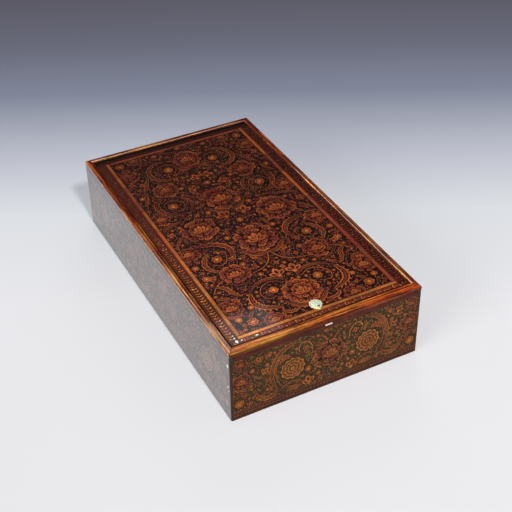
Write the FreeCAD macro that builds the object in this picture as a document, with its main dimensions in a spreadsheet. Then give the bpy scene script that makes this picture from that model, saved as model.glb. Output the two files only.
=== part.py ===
import FreeCAD, Part
import Sketcher
import math
import os

# Writing box: a low rectangular case whose lid draws out towards the front.
# Frame: origin under the middle of the box, +X to the right, +Y to the back, +Z up.

doc = FreeCAD.newDocument("writing_box")
sheet = doc.addObject("Spreadsheet::Sheet", "sizes")

# Driving sizes in millimetres.
driving = (
    ("box_length", "310"),
    ("box_width", "173"),
    ("box_height", "71"),
    ("wall_thickness", "9"),
    ("skin_thickness", "3.5"),
    ("bottom_thickness", "6"),
    ("seat_drop", "7"),
    ("edge_round", "0.8"),
    ("rim_width", "6"),
    ("rim_thickness", "3.7"),
    ("rim_round", "1.8"),
    ("lid_gap", "0.5"),
    ("tongue_gap", "0.3"),
    ("lid_drop", "0.8"),
    ("bead_depth", "8"),
    ("bead_lift", "0.2"),
    ("pin_radius", "0.9"),
    ("pin_clearance", "0.1"),
    ("corner_pin_length", "14"),
    ("bottom_pin_length", "14"),
    ("bead_pin_length", "5.6"),
    ("thumb_width", "11"),
    ("thumb_point", "1.6"),
    ("thumb_thickness", "2.2"),
    ("thumb_round", "0.9"),
    ("thumb_setback", "21"),
    ("scallop_radius", "0.8"),
    ("thumb_pin_radius", "0.6"),
    ("thumb_pin_length", "5.4"),
    ("thumb_head_radius", "1"),
    ("thumb_head_height", "0.5"),
    ("slip_width", "6.6"),
    ("slip_height", "1.6"),
    ("slip_depth", "3"),
    ("slip_lift", "0.9"),
)
for row, (alias, value) in enumerate(driving, start=1):
    sheet.set("A" + str(row), alias)
    sheet.set("B" + str(row), value)
    sheet.setAlias("B" + str(row), alias)
doc.recompute()

# Where things stand, as shares of the box.
corner_pin_height_shares = (0.17, 0.485, 0.80)
side_pin_length_shares = (-0.36, -0.12, 0.12, 0.36)
end_pin_width_shares = (-0.22, 0.22)
bead_pin_width_shares = (-0.3, 0.0, 0.3)
bead_pin_depth_share = 0.6
thumb_pin_tip_share = 0.64
thumb_head_top_share = 0.55
scallop_count = 9
scallop_sweep_degrees = 200

# Lengths worked out from the driving sizes.
half_length = "sizes.box_length / 2"
half_width = "sizes.box_width / 2"
seat_height = "(sizes.box_height - sizes.seat_drop)"
land_height = "(sizes.box_height - sizes.rim_thickness)"
ledge_middle = "(sizes.skin_thickness + sizes.wall_thickness) / 2"
wall_middle = "sizes.wall_thickness / 2"
bore_radius = "sizes.pin_radius + sizes.pin_clearance"
tongue_thickness = "(sizes.seat_drop - sizes.rim_thickness - sizes.tongue_gap)"
strip_thickness = "(sizes.seat_drop - sizes.rim_thickness + sizes.bead_lift)"
lid_thickness = "(sizes.seat_drop - sizes.lid_drop)"
tongue_reach = "(sizes.box_width / 2 - sizes.skin_thickness - sizes.lid_gap)"
field_reach = "(sizes.box_width / 2 - sizes.rim_width - sizes.lid_gap)"
tongue_end = "(sizes.box_length - sizes.skin_thickness - sizes.lid_gap)"
field_end = "(sizes.box_length - sizes.rim_width - sizes.lid_gap)"
thumb_radius = "sizes.thumb_width / 2"
thumb_tip = "(sizes.thumb_width / 2 + sizes.thumb_point)"
thumb_pin_offset = thumb_tip + " * " + str(thumb_pin_tip_share)
bead_pin_line = "sizes.bead_depth * " + str(bead_pin_depth_share)

pieces = []


def size(alias):
    return float(sheet.get(alias))


def new_body(label, x="0", y="0", z="0"):
    """Body named after the piece, with its own origin placed in the box."""
    body = doc.addObject("PartDesign::Body", label)
    body.Label = label
    for axis, text in (("x", x), ("y", y), ("z", z)):
        if text != "0":
            body.setExpression("Placement.Base." + axis, text)
    pieces.append(body)
    return body


def new_sketch(body, name, role, lift="0"):
    """Sketch on one of the body's own origin planes, lifted along its normal."""
    sketch = body.newObject("Sketcher::SketchObject", name)
    plane = [item for item in body.Origin.OriginFeatures if item.Role == role][0]
    sketch.AttachmentSupport = [(plane, "")]
    sketch.MapMode = "FlatFace"
    if lift != "0":
        sketch.setExpression("AttachmentOffset.Base.z", lift)
    return sketch


def tie_point(sketch, item, point, across, along):
    """Tie a sketch point to the sheet by its two distances from the origin."""
    spot = sketch.getPoint(item, point)
    ties = (("DistanceX", spot.x, across, -2), ("DistanceY", spot.y, along, -1))
    for kind, start, text, axis in ties:
        if text == "0":
            sketch.addConstraint(Sketcher.Constraint("PointOnObject", item, point, axis))
        else:
            index = sketch.addConstraint(Sketcher.Constraint(kind, -1, 1, item, point, start))
            sketch.setExpression("Constraints[" + str(index) + "]", text)


def draw_outline(sketch, corners):
    """Closed straight-sided outline through corners given as pairs of expressions."""
    first = sketch.GeometryCount
    count = len(corners)
    spots = []
    for i in range(count):
        turn = 2 * math.pi * (i + 0.3) / count
        spots.append(FreeCAD.Vector(math.cos(turn), math.sin(turn), 0))
    for i in range(count):
        sketch.addGeometry(Part.LineSegment(spots[i], spots[(i + 1) % count]), False)
    for i in range(count):
        after = first + (i + 1) % count
        sketch.addConstraint(Sketcher.Constraint("Coincident", first + i, 2, after, 1))
    for i, (across, along) in enumerate(corners):
        tie_point(sketch, first + i, 1, across, along)


def draw_rectangle(sketch, left, right, low, high):
    draw_outline(sketch, ((left, low), (right, low), (right, high), (left, high)))


def draw_circle(sketch, across, along, radius):
    """Circle with its centre and radius tied to the sheet."""
    item = sketch.GeometryCount
    start = FreeCAD.Vector(item + 1, item + 1, 0)
    guess = size("pin_radius")
    sketch.addGeometry(Part.Circle(start, FreeCAD.Vector(0, 0, 1), guess), False)
    index = sketch.addConstraint(Sketcher.Constraint("Radius", item, guess))
    sketch.setExpression("Constraints[" + str(index) + "]", radius)
    tie_point(sketch, item, 3, across, along)


def pad(body, sketch, name, length, both_ways=False):
    feature = body.newObject("PartDesign::Pad", name)
    feature.Profile = sketch
    feature.setExpression("Length", length)
    if both_ways:
        feature.SideType = "Symmetric"
    doc.recompute()
    return feature


def pocket(body, sketch, name, length, forward):
    """Cut a pocket; forward cuts along the sketch's normal, else against it."""
    before = body.Shape.Volume
    feature = body.newObject("PartDesign::Pocket", name)
    feature.Profile = sketch
    feature.setExpression("Length", length)
    feature.Reversed = forward
    doc.recompute()
    if not feature.Shape.Volume < before:
        raise RuntimeError(name + " cuts nothing")
    return feature


def round_edges(body, base, name, radius, wanted):
    """Fillet the edges of base for which wanted(middle, edge) holds."""
    names = []
    for i, edge in enumerate(base.Shape.Edges, start=1):
        if wanted(edge.CenterOfMass, edge):
            names.append("Edge" + str(i))
    feature = body.newObject("PartDesign::Fillet", name)
    feature.Base = (base, names)
    feature.setExpression("Radius", radius)
    doc.recompute()
    return feature


def near(value, target):
    return math.isclose(value, target, abs_tol=1e-6)


def scaled(sign, text):
    """Expression with a sign in front; a plain zero stays zero."""
    if text == "0":
        return "0"
    return text if sign > 0 else "-(" + text + ")"


def add_side_wall(label, side):
    """Side wall: seat for the lid above, rebates for the ends and the bottom; side is -1 or 1."""
    inward = -side
    body = new_body(label, x=scaled(side, half_width))

    def across(text):
        return scaled(inward, text)

    section = new_sketch(body, label + "_section", "XZ_Plane")
    draw_outline(section, (
        ("0", "0"),
        (across("sizes.skin_thickness"), "0"),
        (across("sizes.skin_thickness"), "sizes.bottom_thickness"),
        (across("sizes.wall_thickness"), "sizes.bottom_thickness"),
        (across("sizes.wall_thickness"), seat_height),
        (across("sizes.skin_thickness"), seat_height),
        (across("sizes.skin_thickness"), land_height),
        ("0", land_height),
    ))
    board = pad(body, section, label + "_board", "sizes.box_length", both_ways=True)

    ends = new_sketch(body, label + "_end_plan", "XY_Plane")
    inner_end = half_length + " - sizes.wall_thickness"
    for way in (-1, 1):
        draw_rectangle(ends, across("sizes.skin_thickness"), across("sizes.wall_thickness"),
                       scaled(way, inner_end), scaled(way, half_length))
    lapped = pocket(body, ends, label + "_end_laps", land_height, forward=True)

    def outside(middle, edge):
        on_face = near(middle.x, 0)
        at_end = near(abs(middle.y), board.Shape.BoundBox.YMax)
        low = near(middle.z, 0)
        upright = on_face and at_end
        return upright or (low and (on_face or at_end))

    round_edges(body, lapped, label + "_rounds", "sizes.edge_round", outside)

    bores = new_sketch(body, label + "_corner_bores", "YZ_Plane")
    for way in (-1, 1):
        for share in corner_pin_height_shares:
            draw_circle(bores, scaled(way, half_length + " - " + wall_middle),
                        "sizes.box_height * " + str(share), bore_radius)
    pocket(body, bores, label + "_corner_drilling", "sizes.skin_thickness", forward=inward > 0)

    floor = new_sketch(body, label + "_bottom_bores", "XY_Plane", "sizes.bottom_thickness")
    for share in side_pin_length_shares:
        draw_circle(floor, across(ledge_middle), "sizes.box_length * " + str(share), bore_radius)
    pocket(body, floor, label + "_bottom_drilling",
           "sizes.bottom_pin_length - sizes.bottom_thickness", forward=True)


def add_end_wall(label, side):
    """Front (side -1) or back (side 1) wall, lapped behind the skins of the side walls."""
    inward = -side
    body = new_body(label, y=scaled(side, half_length))

    def along(text):
        return scaled(inward, text)

    section = new_sketch(body, label + "_section", "YZ_Plane")
    outline = [
        ("0", "0"),
        (along("sizes.skin_thickness"), "0"),
        (along("sizes.skin_thickness"), "sizes.bottom_thickness"),
        (along("sizes.wall_thickness"), "sizes.bottom_thickness"),
        (along("sizes.wall_thickness"), seat_height),
    ]
    if side > 0:
        outline.append((along("sizes.skin_thickness"), seat_height))
        outline.append((along("sizes.skin_thickness"), land_height))
        outline.append(("0", land_height))
    else:
        outline.append(("0", seat_height))
    draw_outline(section, outline)
    span = "sizes.box_width - 2 * sizes.skin_thickness"
    board = pad(body, section, label + "_board", span, both_ways=True)

    def low_outside(middle, edge):
        return near(middle.y, 0) and near(middle.z, 0)

    round_edges(body, board, label + "_rounds", "sizes.edge_round", low_outside)

    for way, name in ((-1, "_left"), (1, "_right")):
        reach = "(sizes.box_width / 2 - sizes.skin_thickness)"
        bores = new_sketch(body, label + name + "_bores", "YZ_Plane", scaled(way, reach))
        for share in corner_pin_height_shares:
            draw_circle(bores, along(wall_middle), "sizes.box_height * " + str(share), bore_radius)
        pocket(body, bores, label + name + "_drilling",
               "sizes.corner_pin_length - sizes.skin_thickness", forward=way < 0)

    floor = new_sketch(body, label + "_bottom_bores", "XY_Plane", "sizes.bottom_thickness")
    for share in end_pin_width_shares:
        draw_circle(floor, "sizes.box_width * " + str(share), along(ledge_middle), bore_radius)
    pocket(body, floor, label + "_bottom_drilling",
           "sizes.bottom_pin_length - sizes.bottom_thickness", forward=True)


def bottom_pin_spots():
    """Plan positions of the pins under the walls."""
    spots = []
    for way in (-1, 1):
        for share in side_pin_length_shares:
            spots.append((scaled(way, half_width + " - " + ledge_middle),
                          "sizes.box_length * " + str(share)))
        for share in end_pin_width_shares:
            spots.append(("sizes.box_width * " + str(share),
                          scaled(way, half_length + " - " + ledge_middle)))
    return spots


def add_bottom_board(label):
    """Board let into the rebates of the four walls, flush with their undersides."""
    body = new_body(label)
    plan = new_sketch(body, label + "_plan", "XY_Plane")
    reach = half_width + " - sizes.skin_thickness"
    depth = half_length + " - sizes.skin_thickness"
    draw_rectangle(plan, scaled(-1, reach), reach, scaled(-1, depth), depth)
    pad(body, plan, label + "_board", "sizes.bottom_thickness")
    bores = new_sketch(body, label + "_bores", "XY_Plane")
    for across, along in bottom_pin_spots():
        draw_circle(bores, across, along, bore_radius)
    pocket(body, bores, label + "_drilling", "sizes.bottom_thickness", forward=True)


def long_top_edges(base, axis):
    """Test for the long edges along the top of a moulding."""
    box = base.Shape.BoundBox
    whole = max(box.XLength, box.YLength)

    def wanted(middle, edge):
        return near(middle.z, box.ZMax) and near(edge.Length, whole)

    return wanted


def add_side_rim(label, side):
    """Rounded moulding on a side wall, mitred to the back rim and to the lid's bead."""
    inward = -side
    body = new_body(label, x=scaled(side, half_width), z=land_height)

    def across(text):
        return scaled(inward, text)

    section = new_sketch(body, label + "_section", "XZ_Plane")
    draw_rectangle(section, "0", across("sizes.rim_width"), "0", "sizes.rim_thickness")
    strip = pad(body, section, label + "_strip", "sizes.box_length", both_ways=True)
    round_edges(body, strip, label + "_rounds", "sizes.rim_round", long_top_edges(strip, "y"))
    mitres = new_sketch(body, label + "_mitre_plan", "XY_Plane")
    inner = across("sizes.rim_width")
    draw_outline(mitres, (
        ("0", scaled(-1, half_length)),
        (inner, scaled(-1, half_length)),
        (inner, "sizes.bead_depth - " + half_length),
    ))
    draw_outline(mitres, (
        ("0", half_length),
        (inner, half_length + " - sizes.rim_width"),
        (inner, half_length),
    ))
    pocket(body, mitres, label + "_mitres", "sizes.rim_thickness", forward=True)


def add_back_rim(label):
    """The same moulding across the back wall, mitred at both ends."""
    body = new_body(label, y=half_length, z=land_height)
    section = new_sketch(body, label + "_section", "YZ_Plane")
    draw_rectangle(section, "-sizes.rim_width", "0", "0", "sizes.rim_thickness")
    strip = pad(body, section, label + "_strip", "sizes.box_width", both_ways=True)
    round_edges(body, strip, label + "_rounds", "sizes.rim_round", long_top_edges(strip, "x"))
    mitres = new_sketch(body, label + "_mitre_plan", "XY_Plane")
    for way in (-1, 1):
        draw_outline(mitres, (
            (scaled(way, half_width), "0"),
            (scaled(way, half_width + " - sizes.rim_width"), "-sizes.rim_width"),
            (scaled(way, half_width), "-sizes.rim_width"),
        ))
    pocket(body, mitres, label + "_mitres", "sizes.rim_thickness", forward=True)


def add_lid_panel(label):
    """Lid board: thin tongues under the rims, thicker field between them, slip notch in front."""
    body = new_body(label, y=scaled(-1, half_length), z=seat_height)
    plan = new_sketch(body, label + "_tongue_plan", "XY_Plane")
    draw_rectangle(plan, scaled(-1, tongue_reach), tongue_reach, "0", tongue_end)
    pad(body, plan, label + "_tongue", tongue_thickness)
    plan = new_sketch(body, label + "_field_plan", "XY_Plane")
    draw_rectangle(plan, scaled(-1, field_reach), field_reach, "sizes.bead_depth", field_end)
    pad(body, plan, label + "_field", lid_thickness)
    plan = new_sketch(body, label + "_strip_plan", "XY_Plane")
    draw_rectangle(plan, scaled(-1, field_reach), field_reach, "0", "sizes.bead_depth")
    pad(body, plan, label + "_strip", strip_thickness)

    notch = new_sketch(body, label + "_slip_face", "XZ_Plane")
    draw_rectangle(notch, "-sizes.slip_width / 2", "sizes.slip_width / 2",
                   "sizes.slip_lift", "sizes.slip_lift + sizes.slip_height")
    pocket(body, notch, label + "_slip_notch", "sizes.slip_depth", forward=False)

    bores = new_sketch(body, label + "_bead_bores", "XY_Plane")
    for share in bead_pin_width_shares:
        spot = "sizes.box_width * " + str(share) if share else "0"
        draw_circle(bores, spot, bead_pin_line, bore_radius)
    pocket(body, bores, label + "_bead_drilling", strip_thickness, forward=True)

    hole = new_sketch(body, label + "_thumb_bore", "XY_Plane", lid_thickness)
    draw_circle(hole, "0", "sizes.thumb_setback - " + thumb_pin_offset,
                "sizes.thumb_pin_radius + sizes.pin_clearance")
    pocket(body, hole, label + "_thumb_drilling",
           "sizes.thumb_pin_length - sizes.thumb_thickness", forward=False)


def add_lid_bead(label):
    """Rounded moulding across the lid's front edge, mitred ends, held by pins from below."""
    underside = seat_height + " + " + strip_thickness
    height = "sizes.rim_thickness - sizes.bead_lift"
    body = new_body(label, y=scaled(-1, half_length), z=underside)
    section = new_sketch(body, label + "_section", "YZ_Plane")
    draw_rectangle(section, "0", "sizes.bead_depth", "0", height)
    strip = pad(body, section, label + "_strip", "sizes.box_width", both_ways=True)
    round_edges(body, strip, label + "_rounds", "sizes.rim_round", long_top_edges(strip, "x"))
    mitres = new_sketch(body, label + "_mitre_plan", "XY_Plane")
    for way in (-1, 1):
        draw_outline(mitres, (
            (scaled(way, half_width + " - sizes.lid_gap"), "0"),
            (scaled(way, half_width), "0"),
            (scaled(way, half_width), "sizes.bead_depth"),
            (scaled(way, half_width + " - sizes.rim_width - sizes.lid_gap"), "sizes.bead_depth"),
        ))
    pocket(body, mitres, label + "_mitres", height, forward=True)
    bores = new_sketch(body, label + "_bores", "XY_Plane")
    for share in bead_pin_width_shares:
        spot = "sizes.box_width * " + str(share) if share else "0"
        draw_circle(bores, spot, bead_pin_line, bore_radius)
    pocket(body, bores, label + "_drilling", "sizes.bead_pin_length - " + strip_thickness,
           forward=True)


def add_thumb_piece(label):
    """Flat drop, round at the back and pointed at the front, with a scalloped round edge."""
    body = new_body(label, y="sizes.thumb_setback - " + half_length,
                    z="sizes.box_height - sizes.lid_drop")
    outline = new_sketch(body, label + "_outline", "XY_Plane")
    middle = FreeCAD.Vector(0, 0, 0)
    up = FreeCAD.Vector(0, 0, 1)
    radius = size("thumb_width") / 2
    tip = FreeCAD.Vector(0, -radius - size("thumb_point"), 0)
    lean = math.asin(radius / tip.Length)
    arc = Part.ArcOfCircle(Part.Circle(middle, up, radius), -lean, math.pi + lean)
    outline.addGeometry(arc, False)
    ends = (arc.EndPoint, arc.StartPoint)
    outline.addGeometry(Part.LineSegment(ends[0], tip), False)
    outline.addGeometry(Part.LineSegment(tip, ends[1]), False)
    outline.addConstraint(Sketcher.Constraint("Coincident", 0, 3, -1, 1))
    outline.addConstraint(Sketcher.Constraint("Coincident", 1, 2, 2, 1))
    outline.addConstraint(Sketcher.Constraint("Tangent", 0, 2, 1, 1))
    outline.addConstraint(Sketcher.Constraint("Tangent", 2, 2, 0, 1))
    outline.addConstraint(Sketcher.Constraint("PointOnObject", 1, 2, -2))
    index = outline.addConstraint(Sketcher.Constraint("Radius", 0, arc.Radius))
    outline.setExpression("Constraints[" + str(index) + "]", thumb_radius)
    index = outline.addConstraint(Sketcher.Constraint("DistanceY", -1, 1, 1, 2, tip.y))
    outline.setExpression("Constraints[" + str(index) + "]", "-" + thumb_tip)
    plate = pad(body, outline, label + "_plate", "sizes.thumb_thickness")
    top = plate.Shape.BoundBox.ZMax

    def upper(point, edge):
        return near(point.z, top)

    round_edges(body, plate, label + "_rounds", "sizes.thumb_round", upper)

    first = str((scallop_sweep_degrees - 180) / 2)
    notch = new_sketch(body, label + "_scallop_plan", "XY_Plane")
    reach = "(sizes.thumb_width / 2 + sizes.scallop_radius / 2)"
    draw_circle(notch, reach + " * cos(" + first + " deg)",
                "-" + reach + " * sin(" + first + " deg)", "sizes.scallop_radius")
    scallop = pocket(body, notch, label + "_scallop", "sizes.thumb_thickness", forward=True)
    pattern = body.newObject("PartDesign::PolarPattern", label + "_scallops")
    pattern.Originals = [scallop]
    pattern.Axis = (notch, ["N_Axis"])
    pattern.Angle = scallop_sweep_degrees
    pattern.Occurrences = scallop_count
    body.Tip = pattern
    doc.recompute()

    hole = new_sketch(body, label + "_bore", "XY_Plane")
    draw_circle(hole, "0", "-" + thumb_pin_offset,
                "sizes.thumb_pin_radius + sizes.pin_clearance")
    pocket(body, hole, label + "_drilling", "sizes.thumb_thickness", forward=True)


def add_thumb_pin(label):
    """Small pin with a domed head through the drop into the lid."""
    top = "sizes.box_height - sizes.lid_drop + sizes.thumb_thickness"
    body = new_body(label, y="sizes.thumb_setback - " + half_length + " - " + thumb_pin_offset, z=top)
    half = new_sketch(body, label + "_half_section", "XZ_Plane")
    draw_outline(half, (
        ("0", "-sizes.thumb_pin_length"),
        ("sizes.thumb_pin_radius", "-sizes.thumb_pin_length"),
        ("sizes.thumb_pin_radius", "0"),
        ("sizes.thumb_head_radius", "0"),
        ("sizes.thumb_head_radius * " + str(thumb_head_top_share), "sizes.thumb_head_height"),
        ("0", "sizes.thumb_head_height"),
    ))
    turned = body.newObject("PartDesign::Revolution", label + "_turned")
    turned.Profile = half
    turned.ReferenceAxis = (half, ["V_Axis"])
    turned.Angle = 360
    doc.recompute()


def add_bone_slip(label):
    """Small slip let into the front edge of the lid."""
    slip = doc.addObject("Part::Box", label)
    slip.Label = label
    slip.setExpression("Length", "sizes.slip_width")
    slip.setExpression("Width", "sizes.slip_depth")
    slip.setExpression("Height", "sizes.slip_height")
    slip.setExpression("Placement.Base.x", "-sizes.slip_width / 2")
    slip.setExpression("Placement.Base.y", scaled(-1, half_length))
    slip.setExpression("Placement.Base.z", seat_height + " + sizes.slip_lift")
    pieces.append(slip)


def add_pins(label, length, turn, spots):
    """Group of equal pins; each spot gives the foot of a pin as three expressions."""
    pins = []
    for number, spot in enumerate(spots, start=1):
        pin = doc.addObject("Part::Cylinder", label + "_" + str(number))
        pin.setExpression("Radius", "sizes.pin_radius")
        pin.setExpression("Height", length)
        pin.Placement.Rotation = turn
        for axis, text in zip("xyz", spot):
            if text != "0":
                pin.setExpression("Placement.Base." + axis, text)
        pins.append(pin)
    group = doc.addObject("Part::Compound", label)
    group.Label = label
    group.Links = pins
    pieces.append(group)


add_end_wall("front_wall", -1)
add_end_wall("back_wall", 1)
add_side_wall("left_wall", -1)
add_side_wall("right_wall", 1)
add_bottom_board("bottom_board")
add_side_rim("left_rim", -1)
add_side_rim("right_rim", 1)
add_back_rim("back_rim")
add_lid_panel("lid_panel")
add_lid_bead("lid_bead")
add_thumb_piece("thumb_piece")
add_thumb_pin("thumb_pin")
add_bone_slip("bone_slip")

corner_spots = []
for way in (-1, 1):
    for share in corner_pin_height_shares:
        height = "sizes.box_height * " + str(share)
        along = scaled(way, half_length + " - " + wall_middle)
        corner_spots.append(("-" + half_width, along, height))
        corner_spots.append((half_width + " - sizes.corner_pin_length", along, height))
lying = FreeCAD.Rotation(FreeCAD.Vector(0, 1, 0), 90)
add_pins("corner_pins", "sizes.corner_pin_length", lying, corner_spots)

standing = FreeCAD.Rotation()
bottom_spots = [(across, along, "0") for across, along in bottom_pin_spots()]
add_pins("bottom_pins", "sizes.bottom_pin_length", standing, bottom_spots)

bead_spots = []
for share in bead_pin_width_shares:
    across = "sizes.box_width * " + str(share) if share else "0"
    bead_spots.append((across, bead_pin_line + " - " + half_length, seat_height))
add_pins("bead_pins", "sizes.bead_pin_length", standing, bead_spots)

doc.recompute()
for item in doc.Objects:
    if "Invalid" in item.State or "Error" in item.State:
        raise RuntimeError(item.Label + " failed")
for piece in pieces:
    if piece.Shape.isNull() or not piece.Shape.isValid():
        raise RuntimeError(piece.Label + " has no valid shape")

os.makedirs("parts", exist_ok=True)
for piece in pieces:
    piece.Shape.exportStep("parts/" + piece.Label + ".step")
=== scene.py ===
import random
from math import asin, atan2, cos, hypot, pi, radians, sin

import bpy
import numpy as np
from mathutils import Matrix, Vector
from mathutils.geometry import delaunay_2d_cdt


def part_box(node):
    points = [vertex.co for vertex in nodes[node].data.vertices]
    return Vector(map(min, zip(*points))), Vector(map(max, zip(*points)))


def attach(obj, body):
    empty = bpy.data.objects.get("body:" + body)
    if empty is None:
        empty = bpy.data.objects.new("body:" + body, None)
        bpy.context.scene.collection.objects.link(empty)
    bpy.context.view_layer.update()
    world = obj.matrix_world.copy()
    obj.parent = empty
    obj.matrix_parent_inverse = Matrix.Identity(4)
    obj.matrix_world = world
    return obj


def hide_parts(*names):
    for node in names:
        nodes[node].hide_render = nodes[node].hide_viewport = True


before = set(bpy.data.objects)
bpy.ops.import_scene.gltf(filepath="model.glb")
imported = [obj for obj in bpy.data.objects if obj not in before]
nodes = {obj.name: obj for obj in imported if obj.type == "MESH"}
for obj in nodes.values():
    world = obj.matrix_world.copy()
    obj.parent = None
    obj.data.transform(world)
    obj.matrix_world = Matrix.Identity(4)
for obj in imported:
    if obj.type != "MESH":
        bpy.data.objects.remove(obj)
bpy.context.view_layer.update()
scene = bpy.context.scene

TAU = 2 * pi
MM = 0.001
CURVE_STEPS = 7

# Faces of the case and the lid, in mm.
half_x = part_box("right_wall")[1].x / MM
half_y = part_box("back_wall")[1].y / MM
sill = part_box("front_wall")[1].z / MM
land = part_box("back_wall")[1].z / MM
field_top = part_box("lid_panel")[1].z / MM

# Paints of the ornament, as 8-bit display values.
GROUND = (36, 17, 14)
WALL_GROUND = (46, 32, 20)
INK = (26, 12, 10)
UMBER = (64, 29, 19)
BROWN = (92, 43, 30)
RED = (118, 46, 33)
RUSSET = (132, 66, 44)
ORANGE = (168, 90, 42)
OCHRE = (152, 98, 46)
GOLD = (190, 122, 50)
STRAW = (176, 132, 84)
PALE = (144, 118, 100)
MOSS = (82, 66, 46)
ROSE = (118, 68, 54)
OLIVE = (108, 98, 66)


def linear(tone):
    """Display values 0 to 255 as linear light."""
    v = np.clip(np.asarray(tone, float) / 255, 0, 1)
    return np.where(v <= 0.04045, v / 12.92, ((v + 0.055) / 1.055) ** 2.4)


def colour(tone):
    r, g, b = linear(tone)
    return (float(r), float(g), float(b), 1.0)


# Drawing.


def turned(points, angle):
    c, s = cos(angle), sin(angle)
    return np.asarray(points, float) @ np.array([[c, s], [-s, c]])


def smooth(points):
    """Points along a curve that passes through the given ones."""
    p = np.asarray(points, float)
    p = np.concatenate([[2 * p[0] - p[1]], p, [2 * p[-1] - p[-2]]])
    out = []
    for a, b, c, d in zip(p, p[1:], p[2:], p[3:]):
        for t in np.arange(CURVE_STEPS) / CURVE_STEPS:
            out.append(0.5 * (2 * b + (c - a) * t + (2 * a - 5 * b + 4 * c - d) * t ** 2
                              + (3 * b - a - 3 * c + d) * t ** 3))
    return np.array(out + [p[-2]])


def normals(path):
    step = np.gradient(path, axis=0)
    step /= np.maximum(np.linalg.norm(step, axis=1), 1e-9)[:, None]
    return np.stack([-step[:, 1], step[:, 0]], axis=1)


def inside(outline, x, y):
    """Which of the points lie inside a closed outline."""
    ax, ay = outline.T[:, :, None]
    bx, by = np.roll(outline, -1, axis=0).T[:, :, None]
    rise = np.where(by == ay, 1.0, by - ay)
    crossed = ((ay > y) != (by > y)) & (x < (bx - ax) * (y - ay) / rise + ax)
    return np.logical_xor.reduce(crossed, axis=0)


def rect(x0, y0, x1, y1):
    return np.array([(x0, y0), (x1, y0), (x1, y1), (x0, y1)], float)


def scalloped(radius, lobes, depth, turn=0.0, per_lobe=5):
    """Round outline of lobes that meet in notches."""
    count = lobes * per_lobe
    a = np.arange(count) * TAU / count
    wave = np.abs(np.sin(a * lobes / 2)) ** 0.7
    r = radius * (1 - depth + depth * wave)
    return np.stack([r * np.cos(a + turn), r * np.sin(a + turn)], axis=1)


def drop(length, width, blunt=1.3):
    """Leaf along +x, widest past its middle, its tip rounder the blunter it is."""
    t = np.linspace(0, 1, 4 if length < 2.2 else 5) ** (1.3 / blunt)
    half = width / 2 * np.sin(pi * t ** blunt)
    return np.concatenate([np.stack([t * length, half], 1), np.stack([t * length, -half], 1)[-2:0:-1]])


class Canvas:
    """Flat painting: closed shapes in painter's order, each with two tones and a gradient.

    Veil is the share of olive varnish over every tone, and fall how much darker paint gets per mm upwards, as
    painted shade.
    """

    cell = 0.4

    def __init__(self, seed, low, high, veil=0.0, shade_slope=0.0):
        self.rng = random.Random(seed)
        self.veil = veil
        self.shade_slope = shade_slope
        self.low, self.high = np.array(low, float), np.array(high, float)
        self.shapes = []
        self.taken = np.zeros(np.ceil((self.high - self.low) / self.cell).astype(int) + 1, bool)

    def lay(self, outline, tone, edge=None, start=None, end=None, chip=False):
        """Add a shape; its tone runs to edge from start to a point, or over a distance all round."""
        outline = np.asarray(outline, float)
        # Random tone, times painted shade that darkens the paint further up the canvas.
        wobble = self.rng.uniform(0.88, 1.12) * (1 - self.veil) * (1 - self.shade_slope * outline[:, 1].mean())
        first = np.array(tone) * wobble + np.array(OLIVE) * self.veil
        second = first if edge is None else np.array(edge) * wobble + np.array(OLIVE) * self.veil
        start = outline.mean(0) if start is None else np.array(start, float)
        end = 1.0 if end is None else end
        self.shapes.append((outline, first, second, start, end, chip))

    def cover(self, outline, tone, grow=0.3):
        """Add a shape and keep small filling leaves off its ground."""
        self.lay(outline, tone)
        middle = outline.mean(0)
        away = outline - middle
        outline = middle + away * (1 + grow / np.maximum(np.linalg.norm(away, axis=1), 0.3))[:, None]
        i0 = np.clip(((outline.min(0) - self.low) / self.cell).astype(int), 0, self.taken.shape)
        i1 = np.clip(((outline.max(0) - self.low) / self.cell).astype(int) + 2, 0, self.taken.shape)
        gx, gy = np.meshgrid(self.low[0] + np.arange(i0[0], i1[0]) * self.cell,
                             self.low[1] + np.arange(i0[1], i1[1]) * self.cell, indexing="ij")
        if gx.size:
            hit = inside(outline, gx.ravel(), gy.ravel()).reshape(gx.shape)
            self.taken[i0[0]:i1[0], i0[1]:i1[1]] |= hit

    def free(self, spot, reach):
        i = ((np.asarray(spot) - self.low) / self.cell).astype(int)
        k = max(1, round(reach / self.cell))
        a, b = np.maximum(i - k, 0), np.maximum(i + k + 1, 0)
        return not self.taken[a[0]:b[0], a[1]:b[1]].any()

    def petal(self, root, angle, start, length, width, tone, edge=None, cover=False, blunt=1.3):
        """Leaf that starts at a distance from its root and points away from it."""
        shape = turned(drop(length, width, blunt) + (start, 0), angle) + root
        if cover:
            self.cover(shape, tone)
        else:
            way = np.array([cos(angle), sin(angle)])
            self.lay(shape, tone, edge, root + way * start, root + way * (start + length))


def flame(c, root, size, turn, tone):
    """Heart of a flower: five upright petals, the middle one on top."""
    for lean in (1.05, -1.05, 0.5, -0.5, 0.0):
        long = size * (1.3 - 0.25 * abs(lean))
        c.petal(root, turn + lean, -0.1 * size, long * 1.12, size * 0.6, UMBER)
        c.petal(root, turn + lean, 0, long, size * 0.44, tone, ORANGE)
        c.petal(root, turn + lean, 0.3 * size, long * 0.45, size * 0.16, BROWN)


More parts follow.
